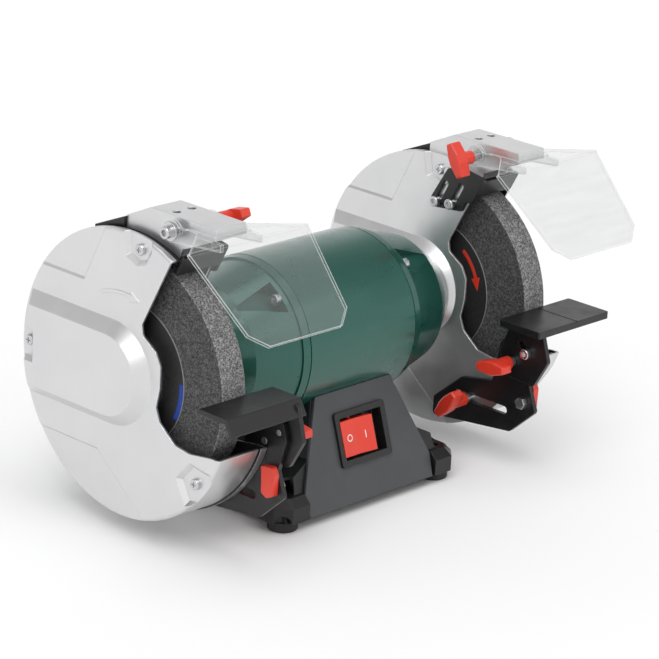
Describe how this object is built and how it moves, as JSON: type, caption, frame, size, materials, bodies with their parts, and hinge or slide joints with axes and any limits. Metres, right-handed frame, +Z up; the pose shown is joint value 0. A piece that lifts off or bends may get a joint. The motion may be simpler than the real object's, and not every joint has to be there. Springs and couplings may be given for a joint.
{
  "type": "bench grinder",
  "caption": "Two-wheel bench grinder with a central motor on a cast base, wheel guards, tilting tool rests and clear eye shields.",
  "frame": {"origin": "midway between the four feet, on the plane they stand on", "axes": "+X along the spindle to the right-hand wheel, +Y to the back, +Z up"},
  "size_m": [0.474, 0.2895, 0.2774],
  "materials": {
    "silver_enamel": "satin silver coat",
    "green_enamel": "green metallic coat",
    "black_casting": "black powder coat",
    "grey_panel": "fine texture",
    "black_plastic": "satin",
    "black_rubber": "matte",
    "red_plastic": "semi gloss",
    "clear_sheet": "clear polycarbonate",
    "grit": "bonded abrasive grain",
    "blotter_paper": "plain card",
    "plain_steel": "turned",
    "zinc_screws": "zinc plated",
    "copper_wire": "enamelled winding",
    "black_steel": "black painted sheet",
    "bushing_plastic": "moulded"
  },
  "bodies": {
    "housing": {"base_casting": "black_casting", "front_panel": "grey_panel", "switch_housing": "black_plastic", "cable_gland": "black_plastic", "capacitor": "black_plastic", "base_cover_plate": "black_steel", "rubber_feet": "black_rubber", "motor_shell": "green_enamel", "stator_core": "plain_steel", "stator_windings": "copper_wire", "end_bell_bolts": "zinc_screws", "motor_mount_bolts": "zinc_screws", "pan_head_screws": "zinc_screws", "deflector_screws": "zinc_screws", "left_end_bell": "green_enamel", "right_end_bell": "green_enamel", "left_bearing": "plain_steel", "right_bearing": "plain_steel", "left_inner_guard": "silver_enamel", "right_inner_guard": "silver_enamel", "left_guard_cover": "silver_enamel", "right_guard_cover": "silver_enamel", "left_spark_liner": "black_steel", "right_spark_liner": "black_steel", "left_shield_holder": "silver_enamel", "right_shield_holder": "silver_enamel", "left_shield_bolt": "zinc_screws", "right_shield_bolt": "zinc_screws"},
    "rotor": {"rotor_shaft": "plain_steel", "rotor_core": "plain_steel", "wheel_blotters": "blotter_paper", "arbor_nuts": "zinc_screws", "wheel_bushings": "bushing_plastic", "left_wheel": "grit", "right_wheel": "grit", "left_inner_flange": "plain_steel", "right_inner_flange": "plain_steel", "left_outer_flange": "plain_steel", "right_outer_flange": "plain_steel"},
    "rocker": {"switch_rocker": "red_plastic"},
    "left_eye_shield": {"left_shield": "clear_sheet"},
    "left_hinge_knob": {"left_shield_knob": "red_plastic"},
    "left_deflector": {"left_spark_deflector": "black_steel"},
    "left_bracket": {"left_rest_bracket": "black_steel", "left_guide_screw": "zinc_screws"},
    "left_rest": {"left_tool_rest": "black_steel"},
    "left_tilt_knob": {"left_rest_knob": "red_plastic"},
    "left_slide_knob": {"left_bracket_knob": "red_plastic"},
    "left_plate_knob": {"left_lock_lever": "red_plastic"},
    "right_eye_shield": {"right_shield": "clear_sheet"},
    "right_hinge_knob": {"right_shield_knob": "red_plastic"},
    "right_deflector": {"right_spark_deflector": "black_steel"},
    "right_bracket": {"right_rest_bracket": "black_steel", "right_guide_screw": "zinc_screws"},
    "right_rest": {"right_tool_rest": "black_steel"},
    "right_tilt_knob": {"right_rest_knob": "red_plastic"},
    "right_slide_knob": {"right_bracket_knob": "red_plastic"},
    "right_plate_knob": {"right_lock_lever": "red_plastic"}
  },
  "joints": [
    {"name": "spindle_spin", "type": "hinge", "parent": "housing", "child": "rotor", "pos_m": [0, 0, 0.135], "axis": [1, 0, 0], "continuous": true},
    {"name": "switch_rock", "type": "hinge", "parent": "housing", "child": "rocker", "pos_m": [-0.0065, -0.06664, 0.0571], "axis": [0, 0.3162, 0.9487], "range_deg": [0, 16]},
    {"name": "left_shield_lift", "type": "hinge", "parent": "housing", "child": "left_eye_shield", "pos_m": [-0.175, -0.044, 0.263], "axis": [-1, 0, 0], "range_deg": [0, 50]},
    {"name": "left_hinge_knob_turn", "type": "hinge", "parent": "housing", "child": "left_hinge_knob", "pos_m": [-0.13, -0.044, 0.263], "axis": [1, 0, 0], "range_deg": [-180, 180]},
    {"name": "left_deflector_slide", "type": "slide", "parent": "housing", "child": "left_deflector", "axis": [0, 0.4566, -0.8897], "range_m": [0, 0.004]},
    {"name": "left_bracket_slide", "type": "slide", "parent": "housing", "child": "left_bracket", "axis": [0, -1, 0], "range_m": [0, 0.012]},
    {"name": "left_rest_tilt", "type": "hinge", "parent": "left_bracket", "child": "left_rest", "pos_m": [-0.145, -0.109, 0.101], "axis": [1, 0, 0], "range_deg": [0, 28]},
    {"name": "left_tilt_knob_turn", "type": "hinge", "parent": "left_bracket", "child": "left_tilt_knob", "pos_m": [-0.12, -0.109, 0.101], "axis": [1, 0, 0], "range_deg": [-90, 90]},
    {"name": "left_slide_knob_turn", "type": "hinge", "parent": "housing", "child": "left_slide_knob", "pos_m": [-0.13, -0.059, 0.053], "axis": [1, 0, 0], "range_deg": [-90, 90]},
    {"name": "left_plate_knob_turn", "type": "hinge", "parent": "left_bracket", "child": "left_plate_knob", "pos_m": [-0.16, -0.12, 0.066], "axis": [1, 0, 0], "range_deg": [-90, 90]},
    {"name": "right_shield_lift", "type": "hinge", "parent": "housing", "child": "right_eye_shield", "pos_m": [0.175, -0.044, 0.263], "axis": [-1, 0, 0], "range_deg": [0, 50]},
    {"name": "right_hinge_knob_turn", "type": "hinge", "parent": "housing", "child": "right_hinge_knob", "pos_m": [0.13, -0.044, 0.263], "axis": [1, 0, 0], "range_deg": [-180, 180]},
    {"name": "right_deflector_slide", "type": "slide", "parent": "housing", "child": "right_deflector", "axis": [0, 0.4566, -0.8897], "range_m": [0, 0.004]},
    {"name": "right_bracket_slide", "type": "slide", "parent": "housing", "child": "right_bracket", "axis": [0, -1, 0], "range_m": [0, 0.012]},
    {"name": "right_rest_tilt", "type": "hinge", "parent": "right_bracket", "child": "right_rest", "pos_m": [0.145, -0.109, 0.101], "axis": [1, 0, 0], "range_deg": [0, 28]},
    {"name": "right_tilt_knob_turn", "type": "hinge", "parent": "right_bracket", "child": "right_tilt_knob", "pos_m": [0.12, -0.109, 0.101], "axis": [1, 0, 0], "range_deg": [-90, 90]},
    {"name": "right_slide_knob_turn", "type": "hinge", "parent": "housing", "child": "right_slide_knob", "pos_m": [0.13, -0.059, 0.053], "axis": [1, 0, 0], "range_deg": [-90, 90]},
    {"name": "right_plate_knob_turn", "type": "hinge", "parent": "right_bracket", "child": "right_plate_knob", "pos_m": [0.16, -0.12, 0.066], "axis": [1, 0, 0], "range_deg": [-90, 90]}
  ]
}
